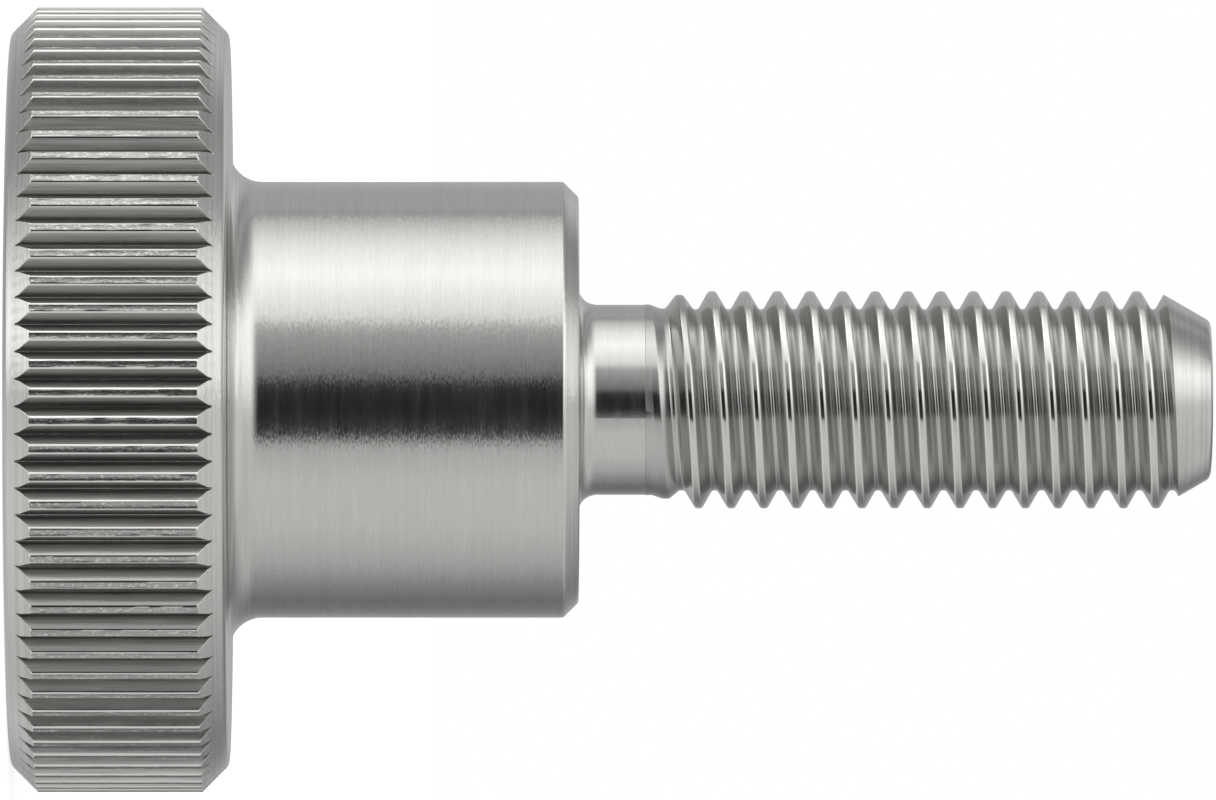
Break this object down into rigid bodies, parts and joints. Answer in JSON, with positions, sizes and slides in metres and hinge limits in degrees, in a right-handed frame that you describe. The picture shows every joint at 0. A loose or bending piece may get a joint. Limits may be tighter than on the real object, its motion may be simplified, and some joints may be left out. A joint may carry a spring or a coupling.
{
  "type": "knurled thumb screw",
  "caption": "Straight-knurled round head on a long plain collar, with a short neck and a right-hand metric thread ending in a chamfer.",
  "frame": {"origin": "centre of the head's flat outer face, on which the screw stands", "axes": "+Z along the screw's axis, from the head to the tip of the thread"},
  "size_m": [0.036, 0.036, 0.055],
  "materials": {
    "steel": "bright fine-turned stainless steel with rolled knurl and rolled thread"
  },
  "bodies": {
    "root": {"thumb_screw": "steel"}
  },
  "joints": []
}
